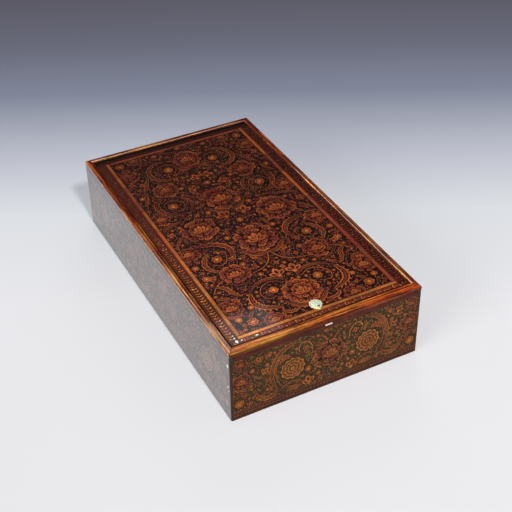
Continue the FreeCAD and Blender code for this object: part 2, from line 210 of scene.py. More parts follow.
def flower(c, x, y, radius, lobes, turn=0.0, heart=ORANGE, tip=RUSSET, tall=1.0):
    """Large open flower: two rows of ragged petals, light along their edges, round a flame-shaped heart."""
    at = np.array([x, y], float)
    c.cover(scalloped(radius * 1.02, lobes, 0.2, turn) * (1, tall) + at, INK)
    for near, far, count in ((0.46, 1.06, lobes), (0.26, 0.64, lobes - 3)):
        for k in range(count):
            a = turn + TAU * (k + near) / count + c.rng.uniform(-0.1, 0.1)
            grown = radius * hypot(cos(a), tall * sin(a))
            root = grown * near
            long = grown * far * c.rng.uniform(0.86, 1.12) - root
            wide = grown * far * TAU / count
            side = at + (root + long * 0.4) * np.array([cos(a), sin(a)])
            light = c.rng.choice((tip, RUSSET, ORANGE))
            c.petal(at, a, root, long * 1.1, wide * 1.08, INK, blunt=1.9)
            for lean in (-0.8, 0.8):
                c.petal(side, a + lean, 0, long * 0.62, wide * 0.34, RED, light)
            c.petal(at, a, root, long, wide * 0.8, RED, light, blunt=1.9)
            c.petal(at, a, root + long * 0.1, long * 0.74, wide * 0.52, INK, BROWN, blunt=1.7)
            c.petal(at, a, root + long * 0.3, long * 0.42, wide * 0.16, RED, light)
    c.lay(scalloped(radius * 0.34, 9, 0.2, turn) * (1, tall) + at, RED)
    flame(c, at - (0, radius * 0.26 * tall), radius * 0.5 * tall, pi / 2, heart)


def ringed(c, x, y, radius, lobes, turn=0.0):
    """Flower drawn as rings of petals, line inside line."""
    at = np.array([x, y], float)
    c.cover(scalloped(radius * 1.09, lobes, 0.14, turn) + at, INK)
    for share in (1.0, 0.72, 0.45):
        count = max(6, round(lobes * (0.5 + 0.5 * share)))
        twist = turn + share
        c.lay(scalloped(radius * share, count, 0.16, twist) + at, ORANGE, GOLD, at, radius)
        c.lay(scalloped(radius * (share - 0.09), count, 0.16, twist) + at, INK, BROWN, at, radius * share)
        for k in range(count):
            a = twist + TAU * (k + 0.5) / count
            c.petal(at, a, radius * (share - 0.26), radius * 0.16, radius * 0.14, RUSSET)
    c.lay(scalloped(radius * 0.16, 6, 0.2, turn) + at, GOLD)
    c.lay(scalloped(radius * 0.07, 5, 0.0, turn) + at, INK)


def palmette(c, x, y, width, height, tone=RUSSET):
    """Lotus seen from the side: a tall flower with a pointed crown and two curled leaves below it."""
    at = np.array([x, y], float)
    for side in (-1, 1):
        curl = np.array([(0.0, -0.5), (0.16, -0.56), (0.36, -0.5), (0.52, -0.34), (0.6, -0.16)])
        scroll(c, smooth(curl * (side * width, height)) + at, width * 0.1, side, 5)
    for lean in (0.32, -0.32, 0.0):
        c.petal(at, pi / 2 + lean, 0, height * 0.64, width * 0.3, INK, cover=True)
        c.petal(at, pi / 2 + lean, 0, height * 0.6, width * 0.22, RED, tone)
    flower(c, x, y, width / 2, 12, pi / 12, ORANGE, tone, height / width)


def scroll(c, path, width, side, teeth, tone=RUSSET, fill=(INK, BROWN)):
    """Curved leaf along a path: light edges, streaked body, one edge toothed, small leaves on the other."""
    n = len(path)
    t = np.linspace(0, 1, n)
    way = normals(path) * side
    body = width * np.sin(pi * t ** 0.8) ** 0.7
    saw = 1 - 0.4 * ((t * teeth) % 1.0)

    def band(low, high):
        return np.concatenate([path + way * low[:, None], (path + way * high[:, None])[::-1]])

    for k in range(teeth):
        i = int((k + 0.5) / teeth * (n - 1))
        lean = atan2(-way[i][1], -way[i][0]) + 0.7 * side
        root = path[i] - way[i] * body[i] * 0.35
        c.petal(root, lean, 0, width * 0.75, width * 0.42, INK, cover=True)
        c.petal(root, lean, 0, width * 0.62, width * 0.28, tone, ORANGE)
    c.cover(band(-0.45 * body - 0.35, 1.02 * body + 0.35), INK, 0.0)
    middle = path[n // 2]
    outer = middle + way[n // 2] * width
    c.lay(band(-0.45 * body, saw * body), tone, ORANGE, outer, middle)
    c.lay(band(-0.27 * body, (saw - 0.22) * body), *fill, outer, middle)
    for low, high, shade in ((-0.16, -0.04, INK), (0.06, 0.2, RUSSET), (0.3, 0.38, INK)):
        c.lay(band(low * body, high * body), shade)
    for k in range(teeth):
        i = int((k + 0.55) / teeth * (n - 1))
        lean = atan2(way[i][1], way[i][0]) + 0.9 * side
        c.petal(path[i] + way[i] * body[i] * 0.1, lean, 0, body[i] * 0.7, body[i] * 0.26, UMBER, RUSSET)


def stem(c, path, width, tone):
    """Thin stalk along a path."""
    way = normals(path)
    half = (width / 2 * (0.6 + 0.4 * np.sin(pi * np.linspace(0, 1, len(path)))))[:, None]
    for grow, shade in ((0.3, INK), (0.0, tone)):
        outline = np.concatenate([path + way * (half + grow), (path - way * (half + grow))[::-1]])
        if grow:
            c.cover(outline, shade, 0.0)
        else:
            c.lay(outline, shade)


def beads(c, path, width, count):
    """Row of small overlapping scales along a path."""
    for k in range(count):
        i = int((k + 0.5) / count * (len(path) - 1))
        c.cover(scalloped(width * 0.62, 4, 0.1, k, 2) + path[i], INK)
        c.lay(scalloped(width * 0.46, 4, 0.1, k, 2) + path[i], ORANGE, RED, path[i], width)


def bud(c, x, y, size, turn, tone=RUSSET):
    """Half-open bud with two side leaves."""
    at = np.array([x, y], float)
    leaves = ((0.85, 0.85, 0.46), (-0.85, 0.85, 0.46), (0.0, 1.0, 0.6))
    for lean, long, wide in leaves:
        c.petal(at, turn + lean, -size * 0.08, size * long * 1.16, size * wide * 1.3, INK, cover=True)
    for lean, long, wide in leaves:
        c.petal(at, turn + lean, 0, size * long, size * wide, tone, ORANGE)
        c.petal(at, turn + lean, size * 0.16, size * long * 0.62, size * wide * 0.5, INK, BROWN)
    c.lay(scalloped(size * 0.16, 5, 0.1) + at, ORANGE)


def blossom(c, x, y, radius, petals=6, turn=0.0, tone=RUSSET):
    """Small open flower."""
    at = np.array([x, y], float)
    c.cover(scalloped(radius * 1.15, petals, 0.2, turn, 4) + at, INK)
    for k in range(petals):
        a = turn + TAU * (k + 0.5) / petals
        c.petal(at, a, radius * 0.1, radius * 0.88, radius * 0.7, tone, ORANGE)
        c.petal(at, a, radius * 0.36, radius * 0.46, radius * 0.24, INK)
    c.lay(scalloped(radius * 0.28, 6, 0.1, turn, 2) + at, GOLD)


def sprig(c, spot, turn, bend, tones):
    """Curling shoot with paired leaves, drawn only where the ground is bare."""
    path = [np.array(spot, float)]
    a = turn
    for k in range(5):
        path.append(path[-1] + 1.9 * np.array([cos(a), sin(a)]))
        a += bend * (1 + 0.35 * k)
    if not all(c.free(p, 0.8) for p in path):
        return
    tone = c.rng.choice(tones)
    stem(c, np.array(path), 0.5, tone)
    for k, p in enumerate(path[1:-1]):
        a = atan2(*(path[k + 2] - p)[::-1])
        for lean in (-0.85, 0.85):
            c.petal(p, a + lean, 0.1, 2.5, 1.5, INK, cover=True)
            c.petal(p, a + lean, 0.1, 2.2, 1.1, tone, c.rng.choice(tones))
    c.lay(scalloped(0.7, 5, 0.1, a, 2) + path[-1], c.rng.choice((ORANGE, GOLD, STRAW)))


def filler(c, low, high, tries, tones, specks):
    """Shoots, small flowers, leaves and dots wherever the ground is still bare."""
    rng = c.rng
    for k in range(tries):
        spot = np.array([rng.uniform(low[0], high[0]), rng.uniform(low[1], high[1])])
        a = rng.uniform(0, TAU)
        if k < tries * 0.04:
            if c.free(spot, 2.2):
                bud(c, *spot, rng.uniform(3.2, 4.4), a, rng.choice(tones))
        elif k < tries * 0.3:
            sprig(c, spot, a, rng.choice((-1, 1)) * rng.uniform(0.05, 0.3), tones)
        elif k < tries * 0.38:
            if c.free(spot, 1.8):
                blossom(c, *spot, rng.uniform(1.6, 2.2), 5, a, rng.choice(tones))
        elif k < tries * 0.66:
            if c.free(spot, 0.8):
                tone = rng.choice(tones)
                for lean in (-0.7, 0.7):
                    long = rng.uniform(1.8, 2.6)
                    c.petal(spot, a + lean, -0.2, long + 0.4, 1.5, INK, cover=True)
                    c.petal(spot, a + lean, 0, long, 1.1, tone, rng.choice(tones))
        elif c.free(spot, 0.4):
            c.cover(scalloped(rng.uniform(0.3, 0.6), 5, 0.0, a, 1) + spot, rng.choice(specks))


def leaf_chain(c, start, end, pitch, size, tones):
    """Border of small paired leaves along a straight line."""
    start, end = np.array(start, float), np.array(end, float)
    a = atan2(*(end - start)[::-1])
    count = round(np.linalg.norm(end - start) / pitch)
    for k in range(count):
        at = start + (end - start) * (k + 0.5) / count
        for side in (-1, 1):
            c.petal(at, a + side * 0.95, 0, size * 1.15, size * 0.75, INK)
            c.petal(at, a + side * 0.95, 0, size, size * 0.5, tones[(k + side) % len(tones)])
        c.lay(scalloped(size * 0.2, 5, 0.0, a, 1) + at, tones[k % len(tones)])


def curve(points, side):
    """Smooth path through points given for the right half, mirrored for side -1."""
    return smooth(np.array(points, float) * (side, 1))


def draw_lines(c, rows, side, x=0.0, fill=(INK, BROWN)):
    """Leaves and stalks of half a pattern about the line at x: the left for side -1, the right for 1."""
    for width, teeth_side, teeth, tone, *points in rows:
        path = curve(points, side) + (x, 0)
        if teeth:
            scroll(c, path, width, teeth_side * side, teeth, tone, fill)
        else:
            stem(c, path, width, tone)


# Paintings, in mm from the middle of the lid or of a wall's foot. The tables give the right halves.

UP = pi / 2

# Painted field of the lid, and the middle of the leaf borders along its sides.
SIDE = 80
FRONT = -147
BACK = 149
CHAIN = 76

# Length of the strokes of the gold line.
STROKE = 9

# Curved leaves and stalks: width, side of the teeth, count of teeth or 0 for a stalk, tone, and points.
LID_LINES = (
    # ring round a small flower, near the back
    (3.8, -1, 9, RUSSET, (25, 86), (35, 89), (41, 98), (40, 109), (32, 117), (21, 119)),
    (2.4, -1, 6, RUSSET, (20, 118), (11, 113), (8, 104), (10.5, 95), (18, 89.5)),
    (0.6, 0, 0, ORANGE, (33, 103), (30, 110), (22, 112), (16, 107), (16.5, 99), (22, 95)),
    (2.8, 1, 6, RUSSET, (58, 78), (53, 85), (49, 93), (44.5, 99.5)),
    # ring below the upper flowers
    (4.2, -1, 9, RUSSET, (47, 61), (55, 56), (57.5, 47), (53, 36), (44, 30), (33, 31)),
    (2.4, -1, 7, RUSSET, (33, 31.5), (26.5, 39), (27, 49), (34, 57), (43, 58.5)),
    (0.6, 0, 0, ORANGE, (51, 48), (47, 53), (39, 53), (33, 46), (35, 38), (42, 35)),
    (3.2, 1, 5, RUSSET, (13, 50), (17.5, 56), (18.5, 63), (14.5, 71)),
    # two leaves that turn round a flower beside the third palmette
    (4.4, 1, 9, RUSSET, (54, -20), (44, -21), (33, -25), (26.5, -34), (28, -44), (34, -52)),
    (3.4, 1, 7, ORANGE, (46, -33), (52, -40), (55, -49), (51, -58), (44, -62)),
    (0.6, 0, 0, ORANGE, (33, -42), (37, -50), (44, -53), (49, -49)),
    # stalks that meet under the third palmette
    (2.6, -1, 6, RUSSET, (18, -40), (14, -48), (12, -57), (9, -66), (3, -69.5)),
    (0.7, 0, 0, ORANGE, (0.5, -52), (3, -60), (7, -67), (14, -72), (26, -75)),
    (0.6, 0, 0, RUSSET, (26, -75), (33, -83), (40, -84), (48, -79), (51, -71)),
    (0.7, 0, 0, ORANGE, (50, -71), (59, -77), (65.5, -85)),
    # great heart of two scrolls at the front
    (2.6, -1, 8, RUSSET, (4, -97), (9, -90), (20, -86.5), (31, -89.5), (39.5, -97)),
    (5.0, -1, 9, ORANGE, (39, -96), (42.5, -107), (40, -116), (33, -121), (22, -124.5)),
    (0.6, 0, 0, ORANGE, (10, -95), (18, -91), (27, -94), (32, -102), (29, -110), (21, -110)),
    (3.2, 1, 7, ORANGE, (60, -77), (53, -82), (50.5, -90), (45, -98)),
    (2.4, 1, 4, ORANGE, (67, -92), (60, -93), (55, -98)),
    # stalks and leaves in the gaps
    (0.7, 0, 0, RUSSET, (1, 18), (7, 7), (15, 4), (22, 3)),
    (2.2, -1, 5, RUSSET, (67, -17), (62, -9), (57, -3), (53, 1)),
    (2.6, 1, 6, RUSSET, (67, 12), (60, 17), (52, 20), (44, 18)),
    (2.4, -1, 5, RUSSET, (12, -12), (17, -9), (19, -16), (17, -25)),
    (2.4, -1, 5, RUSSET, (66, 55), (61, 62), (58, 70), (60, 77)),
    (0.7, 0, 0, RUSSET, (26, 119), (34, 125), (44, 126), (52, 121)),
    (0.7, 0, 0, RUSSET, (4, 128), (14, 131.5), (26, 131)),
    (2.4, 1, 5, RUSSET, (67, 92), (62, 98), (56, 101), (50, 105)),
    (2.4, -1, 5, ORANGE, (46, -117), (52, -122), (52, -130), (45, -134)),
    (2.6, 1, 5, ORANGE, (27, -127), (20, -132), (11, -131)),
)
# Flowers: place, radius, petals, turn and tone of the heart.
LID_FLOWERS = (
    (37, 1, 17.0, 12, 0.1, ORANGE), (39, 72, 12.2, 10, 0.2, RUSSET), (38.5, -69, 12.4, 10, 0.3, ORANGE),
    (61.5, 31, 10, 9, 0.2, ORANGE), (61.5, -27, 10, 9, 0.2, ORANGE), (61, -107, 11, 9, 0.2, ORANGE),
    (62, 111, 9.5, 9, 0.2, RUSSET), (36, -134.5, 9, 9, 0.2, ORANGE), (46, 133, 8, 9, 0.2, RUSSET),
)
# Blossoms: place, radius and tone.
LID_BLOSSOMS = (
    (23, 102.5, 5, ORANGE), (43.5, 44.5, 5, RUSSET), (43, -44, 5, RUSSET), (20.5, -102, 4.6, ORANGE),
    (53, -129, 5, RUSSET), (61.5, 129, 4.8, RED), (20, 21, 3.2, RED), (22, -21, 3, RUSSET),
    (27, -60, 3, RUSSET), (46.5, -113, 3, ORANGE), (25, 68, 3, RED), (26, 131, 3.4, RED),
    (63, 69, 3.4, RED), (20, -79, 3, RED), (64, -47, 3.4, RUSSET), (62, -64, 4, RUSSET),
    (62, -122, 3.4, ORANGE), (8, -131, 2.6, ORANGE), (52, 12, 2.6, RED),
)
# Buds: place, size, lean from upright and tone.
LID_BUDS = (
    (4.8, 76, 9, 0.25, RED), (8.5, 8, 11, 0.35, RED), (7, -88, 11, 0.1, RUSSET), (15, 60, 8, -0.2, RED),
    (64, 3, 6, -0.6, RUSSET), (56, -68, 6, 0.5, RUSSET), (30, -47, 5, 2.6, RUSSET),
    (64, 92, 5.5, -0.5, RED), (22, 83, 5, 0.6, RED), (54, 88, 5, 0.2, RED), (16, -57, 5.5, -0.9, ORANGE),
    (13, 99, 5, -2.4, RED),
)


def lid_flowers(c, s):
    """Flowers, blossoms and buds of one half of the lid; s is -1 for the left and 1 for the right."""
    for x, y, radius, lobes, turn, heart in LID_FLOWERS:
        flower(c, x * s, y, radius, lobes, turn * s, heart)
    for x, y, radius, tone in LID_BLOSSOMS:
        blossom(c, x * s, y, radius, 7 if radius > 4 else 6, x + y, tone)
    for x, y, size, lean, tone in LID_BUDS:
        bud(c, x * s, y, size, UP - lean * s, tone)


def strokes(c, x0, y0, x1, y1, shades, count):
    """Straight line laid in strokes end to end, its shades following one another."""
    for k in range(count):
        start, end = k / count, (k + 1) / count
        if x1 - x0 > y1 - y0:
            stroke = rect(x0 + (x1 - x0) * start, y0, x0 + (x1 - x0) * end, y1)
        else:
            stroke = rect(x0, y0 + (y1 - y0) * start, x1, y0 + (y1 - y0) * end)
        order = int(len(shades) * (k + c.rng.random()) / count)
        c.lay(stroke, shades[order])


def lid_border(c):
    """Dark bands with chains of leaves, and the gold line inside them, laid in short strokes.

    Black strips along the edges are painted shade, and tones lighter towards the front and left a painted
    highlight.
    """
    # Bands; the black strips along the edges are painted shade in the gaps beside the bead and the rims, and
    # at the back a painted dark reflection of the back rim.
    for x0, y0, x1, y1, shade in (
            (-SIDE, FRONT, SIDE, -142.2, BROWN), (-SIDE, FRONT, -72.2, BACK, UMBER),
            (72.2, FRONT, SIDE, BACK, GROUND), (-SIDE, 140, SIDE, BACK, UMBER),
            (-SIDE, FRONT, SIDE, -146.1, INK), (-SIDE, FRONT, -79, BACK, INK),
            (78.8, FRONT, SIDE, BACK, INK), (-SIDE, 144.4, SIDE, BACK, INK)):
        c.lay(rect(x0, y0, x1, y1), shade)
    leaf_chain(c, (-79, -144.5), (79, -144.5), 3.0, 2.2, (RUSSET, BROWN, ORANGE, RED, GOLD))
    # The left chains run from light tones at the front to dark at the back, and the right chain is dark:
    # painted highlight and shade.
    for x, y0, y1, tones in (
            (-CHAIN, -142, -70, (OCHRE, GOLD, RUSSET, ORANGE, OCHRE)),
            (-CHAIN, -70, 10, (RUSSET, ORANGE, RED, OCHRE, RED)),
            (-CHAIN, 10, 140, (RED, RUSSET, ROSE, BROWN, RED)),
            (CHAIN, -142, 140, (RED, BROWN, RUSSET, UMBER, BROWN))):
        leaf_chain(c, (x, y0), (x, y1), 3.4, 3.0, tones)
    for x in (-CHAIN, CHAIN):
        for edge in (x - 3.5, x + 3.5):
            c.lay(rect(edge - 0.3, -142, edge + 0.3, 140), RED)
    # The gold line runs from gold at the front left to russet at the right and back: painted highlight and
    # shade.
    for x0, y0, x1, y1, tones in (
            (-72.4, 135.8, 72.4, 140.2, (RUSSET,)),
            (-72.4, -142.4, -68, 140.2, (OCHRE, OCHRE, ORANGE, ORANGE, RUSSET, ORANGE)),
            (68, -142.4, 72.4, 140.2, (RUSSET, RED, RUSSET, ORANGE, RUSSET, ORANGE)),
            (-72.4, -142.4, 72.4, -138, (GOLD, OCHRE, OCHRE, OCHRE, OCHRE))):
        for shades, trim in (((INK,), 0.0), ((RED,), 0.5), (tones, 0.9)):
            count = round((max(x1 - x0, y1 - y0) - 2 * trim) / STROKE) if trim else 1
            strokes(c, x0 + trim, y0 + trim, x1 - trim, y1 - trim, shades, count)


def lid_canvas():
    """Painting of the lid: palmettes down the middle, flowers and scrolls on both sides."""
    # Painted shade: the lid's paint gets darker towards the back, standing in for the light and sheen that
    # are strongest at the front.
    c = Canvas(11, (-SIDE, FRONT), (SIDE, BACK), shade_slope=0.0009)
    c.lay(rect(-SIDE, FRONT, SIDE, BACK), GROUND)
    for s in (-1, 1):
        draw_lines(c, LID_LINES, s)
    for s in (-1, 1):
        lid_flowers(c, s)
    palmette(c, 0, 112, 27, 29)
    palmette(c, 0, 37, 32, 35, RED)
    palmette(c, 0, -32, 34, 42)
    palmette(c, 0, -113, 31, 32, ORANGE)
    for y, tone in ((-1.5, RUSSET), (135, RED), (66, RED)):
        blossom(c, 0, y, 3.6, 6, y, tone)
    filler(c, (-68, -138), (68, 136), 24000, (RED, BROWN, RUSSET, ROSE, RED),
           (MOSS, STRAW, PALE, ROSE, PALE, ORANGE))
    lid_border(c)
    for x, y, wide, long in ((-74.2, -136.4, 0.5, 0.7), (-74.3, -139.4, 0.5, 1.1), (-74.4, -143.6, 1.3, 2.0),
                             (-70.1, -143.6, 0.8, 0.7), (-57.3, -143.9, 1.2, 0.9)):
        c.lay(scalloped(1, 6, 0.4, x) * (wide, long) + (x, y), STRAW, chip=True)
    return c


# Leaves and stalks, buds and blossoms of a wall, in rows like those of the lid.
WALL_LINES = (
    (4.0, -1, 12, OCHRE, (30, 59.5), (38, 59), (46, 54), (51.5, 45.5), (53.5, 35), (52, 25), (47.5, 17)),
    (0.7, 0, 0, ORANGE, (44, 50), (48, 43), (49.5, 34), (47.5, 25), (43, 18)),
    (3.8, 1, 8, ORANGE, (48, 18), (51, 13), (57, 11), (63, 13.5), (67, 19), (68, 26)),
    (0.7, 0, 0, ORANGE, (62, 17.5), (57, 16.5), (54, 21), (57, 26), (62, 24)),
    (0.9, 0, 0, GOLD, (17, 45), (17.5, 51), (21, 56), (26, 56.5), (29, 52), (28, 47)),
    (3.4, 1, 5, ORANGE, (45, 49), (40, 48), (36.5, 45)),
    (3.4, -1, 6, OCHRE, (40, 15), (32, 12), (27, 14)),
    (0.7, 0, 0, ORANGE, (44, 17), (36, 20), (28, 18), (23, 12)),
)
WALL_BUDS = (
    (60.5, 39, 7, -0.7), (62.5, 53, 6.5, 0.6), (19.5, 11, 9, 0.2), (8, 11, 5, 0.5), (15, 38, 4, 0.9),
    (23, 48, 5, -0.3), (55, 55, 4.6, 1.0), (47.5, 47, 6, -1.9), (58, 30, 4.5, -0.8), (36, 11, 4.4, 0.4),
    (71, 30, 5, 0.7), (53, 58, 4, 1.9),
)
WALL_BLOSSOMS = (
    (20.5, 27, 3.4), (57, 47, 2.6), (12, 58, 2.2), (11, 18, 2.4), (57, 21, 2.4), (70, 46, 2.6),
)


def wall_frame(c, reach, top):
    """Plain stripes round a wall's painting, and the rope along its foot."""
    for x0, y0, x1, y1, shade in (
            (-reach, 0, reach, 8.6, UMBER), (-reach, 0, 1.4 - reach, top, UMBER),
            (reach - 1.4, 0, reach, top, UMBER), (-reach, top - 0.9, reach, top + 1, UMBER),
            (-reach, 6.8, reach, 8.2, BROWN), (-reach, 2.4, reach, 6.2, INK)):
        c.lay(rect(x0, y0, x1, y1), shade)
    count = round(2 * reach / 3.1)
    for k in range(count):
        spot = np.array([2 * reach * (k + 0.5) / count - reach, 4.3])
        c.petal(spot, 0.75, -2.2, 4.4, 2.2, UMBER, RUSSET)


def wall_unit(c, x):
    """Toothed flower with a ringed flower in a scroll on each side."""
    for s in (-1, 1):
        beads(c, curve([(3, 50), (6.5, 55), (12, 58), (18, 58.5)], s) + (x, 0), 2.8, 7)
        draw_lines(c, WALL_LINES, s, x, (BROWN, OCHRE))
        ringed(c, x + 34.5 * s, 33.5, 11.0, 12, 0.2 * s)
        for px, py, size, lean in WALL_BUDS:
            bud(c, x + px * s, py, size, UP - lean * s, ORANGE if px > 18 else RUSSET)
        for px, py, radius in WALL_BLOSSOMS:
            blossom(c, x + px * s, py, radius, 6, px)
    flower(c, x, 35, 14.6, 11, 0.1, ORANGE, OCHRE)


def wall_canvas(seed, half, top, units, veil, worn):
    """Painting of a wall: one or more units between half-flowers at the ends."""
    reach = half - 0.6
    c = Canvas(seed, (-half, 0), (half, top + 1), veil)
    c.lay(rect(-half, 0, half, top + 1), WALL_GROUND)
    for x in units:
        wall_unit(c, x)
    if len(units) > 1:
        flower(c, 0, 36, 10.5, 11, 0.2)
        for s in (-1, 1):
            bud(c, 8 * s, 50, 6, UP - 0.5 * s, ORANGE)
            bud(c, 8 * s, 20, 6, 0.5 * s - UP, ORANGE)
    end = half - 10
    for s in (-1, 1):
        flower(c, (end + 0.5) * s, 38, 9.0, 10, 0.2)
        flower(c, (end + 1) * s, 56, 6.4, 9, 0.3, RUSSET)
        scroll(c, curve([(end + 6, 26), (end - 1, 25), (end - 2, 14)], s), 2.6, s, 5, ORANGE)
        blossom(c, (end + 2.5) * s, 16, 4.6, 7, 0.3, ORANGE)
    filler(c, (2 - reach, 9), (reach - 2, top - 1), int(half * 130), (OCHRE, RUSSET, OCHRE, BROWN, MOSS),
           (MOSS, STRAW, OCHRE, PALE, MOSS))
    wall_frame(c, reach, top)
    if worn:
        c.lay(scalloped(1, 6, 0.3) * (1.2, 1.1) + (half - 5, 61.8), INK)
        for inset, y, wide, high in ((3.6, 56.8, 1.4, 2.2), (4.2, 34.6, 0.8, 1.1), (2.6, 31.2, 0.5, 0.7)):
            c.lay(scalloped(1, 6, 0.35, y) * (wide, high) + (half - inset, y), STRAW, chip=True)
    return c


# Paint films.

FILM_THICKNESS = 0.05


def new_piece(name, mesh, materials):
    """Object in the scene for a mesh, with its materials."""
    for material in materials:
        mesh.materials.append(material)
    piece = bpy.data.objects.new(name, mesh)
    scene.collection.objects.link(piece)
    return piece


def tones_at(shape, points):
    """Linear colours of a shape's gradient at points."""
    _, first, second, start, end, _ = shape
    if np.ndim(end):
        run = end - start
        t = (points - start) @ run / (run @ run)
    else:
        t = np.linalg.norm(points - start, axis=1) / end
    t = np.clip(t, 0, 1)[:, None]
    return linear(first * (1 - t) + second * t)


def triangles(shapes, low, high):
    """Points, triangles and their middles for a rectangle that is cut along the outlines of shapes."""
    spots, lines = [], []
    for outline in [rect(*low, *high)] + [shape[0] for shape in shapes]:
        first, count = len(spots), len(outline)
        spots.extend(Vector((float(x), float(y))) for x, y in outline)
        lines.extend((first + i, first + (i + 1) % count) for i in range(count))
    found, _, faces, *_ = delaunay_2d_cdt(spots, lines, [], 0, 1e-4, False)
    flat = np.array([(p.x, p.y) for p in found])
    faces = np.array(faces)
    middle = flat[faces].mean(1)
    keep = ((middle > low) & (middle < high)).all(1)
    faces, middle = faces[keep], middle[keep]
    a, b, c = (flat[faces[:, k]] for k in range(3))
    area = (b[:, 0] - a[:, 0]) * (c[:, 1] - a[:, 1]) - (b[:, 1] - a[:, 1]) * (c[:, 0] - a[:, 0])
    faces[area < 0] = faces[area < 0][:, ::-1]
    used, faces = np.unique(faces, return_inverse=True)
    return flat[used], faces.reshape(-1, 3), middle


def owners(shapes, middle):
    """Number of the topmost shape at each triangle's middle."""
    owner = np.zeros(len(middle), int)
    order = np.argsort(middle[:, 0])
    xs, ys = middle[order, 0], middle[order, 1]
    for k, (outline, *_) in enumerate(shapes):
        i0, i1 = np.searchsorted(xs, (outline[:, 0].min(), outline[:, 0].max()))
        near = (ys[i0:i1] >= outline[:, 1].min()) & (ys[i0:i1] <= outline[:, 1].max())
        near = np.nonzero(near)[0] + i0
        if len(near):
            hit = inside(outline, xs[near], ys[near])
            owner[order[near[hit]]] = k
    return owner


def closing_faces(flat, corners):
    """Triangles for the edges and the back of a film; its back corners are numbered after its points."""
    count = len(flat)
    faces = []
    for k, p in enumerate(corners):
        run = corners[(k + 1) % 4] - p
        off = np.abs((flat[:, 0] - p[0]) * run[1] - (flat[:, 1] - p[1]) * run[0]) / np.linalg.norm(run)
        chain = np.nonzero(off < 2e-4)[0]
        chain = chain[np.argsort((flat[chain] - p) @ run)].tolist()
        foot, after = count + k, count + (k + 1) % 4
        faces.extend((j, i, foot) for i, j in zip(chain[:-1], chain[1:]))
        faces.append((foot, after, chain[-1]))
    return faces + [(count, count + 2, count + 1), (count, count + 3, count + 2)]


def film(name, canvas, low, high, origin, across, up, body, materials):
    """Thin closed film of paint on a flat face, each triangle in the tones of the shape that owns it."""
    low, high = np.array(low, float), np.array(high, float)
    shapes = [s for s in canvas.shapes if (s[0].max(0) > low).all() and (s[0].min(0) < high).all()]
    flat, faces, middle = triangles(shapes, low, high)
    owner = owners(shapes, middle)
    paint = np.zeros((len(faces), 3, 3))
    for k in np.unique(owner):
        mine = owner == k
        paint[mine] = tones_at(shapes[k], flat[faces[mine]].reshape(-1, 2)).reshape(-1, 3, 3)
    corners = rect(*low, *high)
    closing = closing_faces(flat, corners)
    local = np.concatenate([np.c_[flat, np.full(len(flat), FILM_THICKNESS)], np.c_[corners, np.zeros(4)]])
    world = local @ np.array([across, up, np.cross(across, up)], float) + origin
    mesh = bpy.data.meshes.new(name)
    mesh.from_pydata((world * MM).tolist(), [], faces.tolist() + closing)
    full = np.concatenate([paint.reshape(-1, 3), np.tile(linear(INK), (len(closing) * 3, 1))])
    layer = mesh.color_attributes.new("paint", "FLOAT_COLOR", "CORNER")
    layer.data.foreach_set("color", np.c_[full, np.ones(len(full))].astype(np.float32).ravel())
    chips = np.array([shape[-1] for shape in shapes])
    kinds = np.concatenate([chips[owner], np.zeros(len(closing))]).astype(np.int32)
    mesh.polygons.foreach_set("material_index", kinds)
    piece = new_piece(name, mesh, materials)
    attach(piece, body)


# Materials.


def plug(tree, socket, value):
    """Link a socket to another, or set its value."""
    if isinstance(value, bpy.types.NodeSocket):
        tree.links.new(value, socket)
    else:
        socket.default_value = value


def add_node(tree, kind, sockets=(), **settings):
    """New node with its settings, and its sockets linked or set."""
    item = tree.nodes.new(kind)
    for key, value in settings.items():
        setattr(item, key, value)
    for key, value in dict(sockets).items():
        plug(tree, item.inputs[key], value)
    return item


